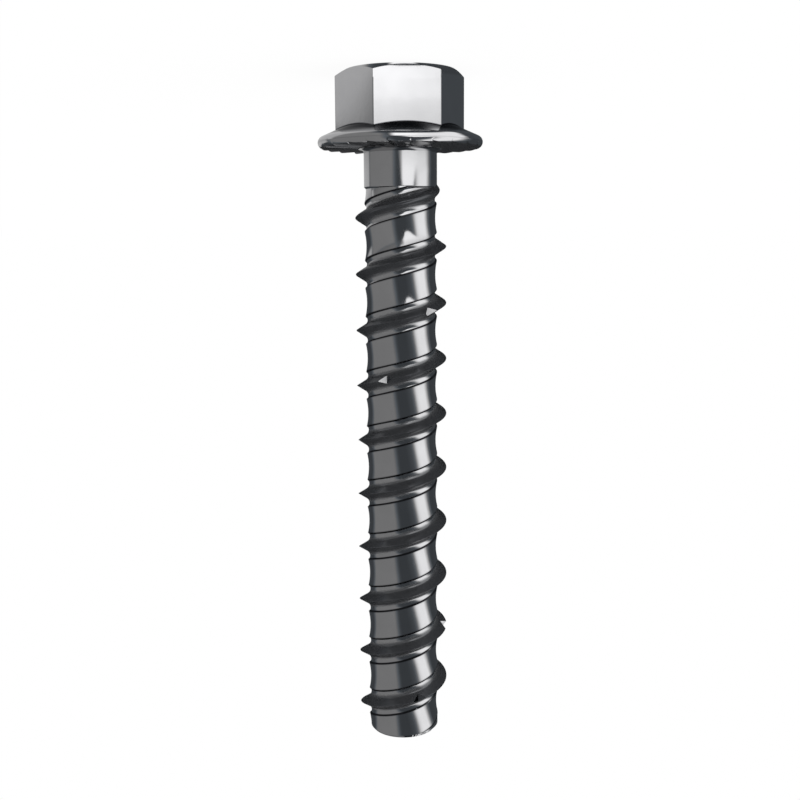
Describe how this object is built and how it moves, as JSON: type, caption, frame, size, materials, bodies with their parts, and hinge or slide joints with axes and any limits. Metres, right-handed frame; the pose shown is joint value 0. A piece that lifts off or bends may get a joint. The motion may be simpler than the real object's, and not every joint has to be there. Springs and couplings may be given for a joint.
{
  "type": "concrete screw",
  "caption": "Hex flange concrete screw with a serrated washer face, a plain neck and a coarse notched thread on a waisted core.",
  "frame": {"origin": "centre of the flat top of the head, which the screw stands on", "axes": "+Z along the screw's axis, from the head to the tip; +X through a corner of the hexagon"},
  "size_m": [0.022, 0.022, 0.0913],
  "materials": {
    "bright_steel": "bright plated hardened steel, smooth and mirror-like"
  },
  "bodies": {
    "root": {"concrete_screw": "bright_steel"}
  },
  "joints": []
}
